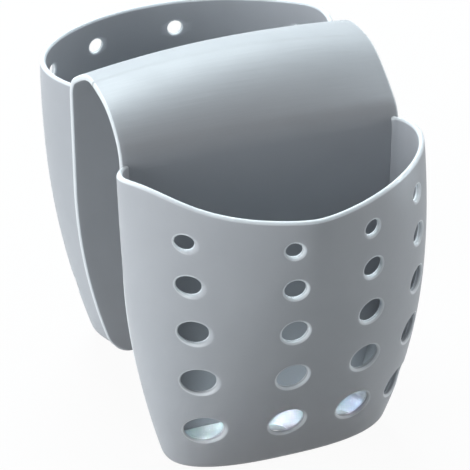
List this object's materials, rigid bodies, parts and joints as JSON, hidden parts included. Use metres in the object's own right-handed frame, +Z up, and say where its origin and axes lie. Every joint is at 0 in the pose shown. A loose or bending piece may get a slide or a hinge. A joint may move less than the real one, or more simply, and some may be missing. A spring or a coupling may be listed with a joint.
{
  "type": "saddle sink caddy",
  "caption": "Soft plastic saddle sink caddy: an arched strap carries a perforated D-shaped pocket on each side and hangs over the divider of a double sink.",
  "frame": {"origin": "middle of the base: the point on the ground midway between the two pockets", "axes": "+Z up, +Y from the front pocket towards the rear pocket, +X along the saddle to the right as seen from the front"},
  "size_m": [0.1224, 0.1858, 0.153],
  "materials": {
    "soft_plastic": "satin grey-blue flexible plastic"
  },
  "bodies": {
    "saddle": {"saddle": "soft_plastic"},
    "front": {"front_panel": "soft_plastic", "front_pocket": "soft_plastic"},
    "rear": {"rear_panel": "soft_plastic", "rear_pocket": "soft_plastic"}
  },
  "joints": [
    {"name": "front_flex", "type": "hinge", "parent": "saddle", "child": "front", "pos_m": [0, -0.02801, 0.13597], "axis": [-1, 0, 0], "range_deg": [-12, 60], "stiffness_Nm_per_rad": 1.2},
    {"name": "rear_flex", "type": "hinge", "parent": "saddle", "child": "rear", "pos_m": [0, 0.02801, 0.13597], "axis": [1, 0, 0], "range_deg": [-12, 60], "stiffness_Nm_per_rad": 1.2}
  ]
}
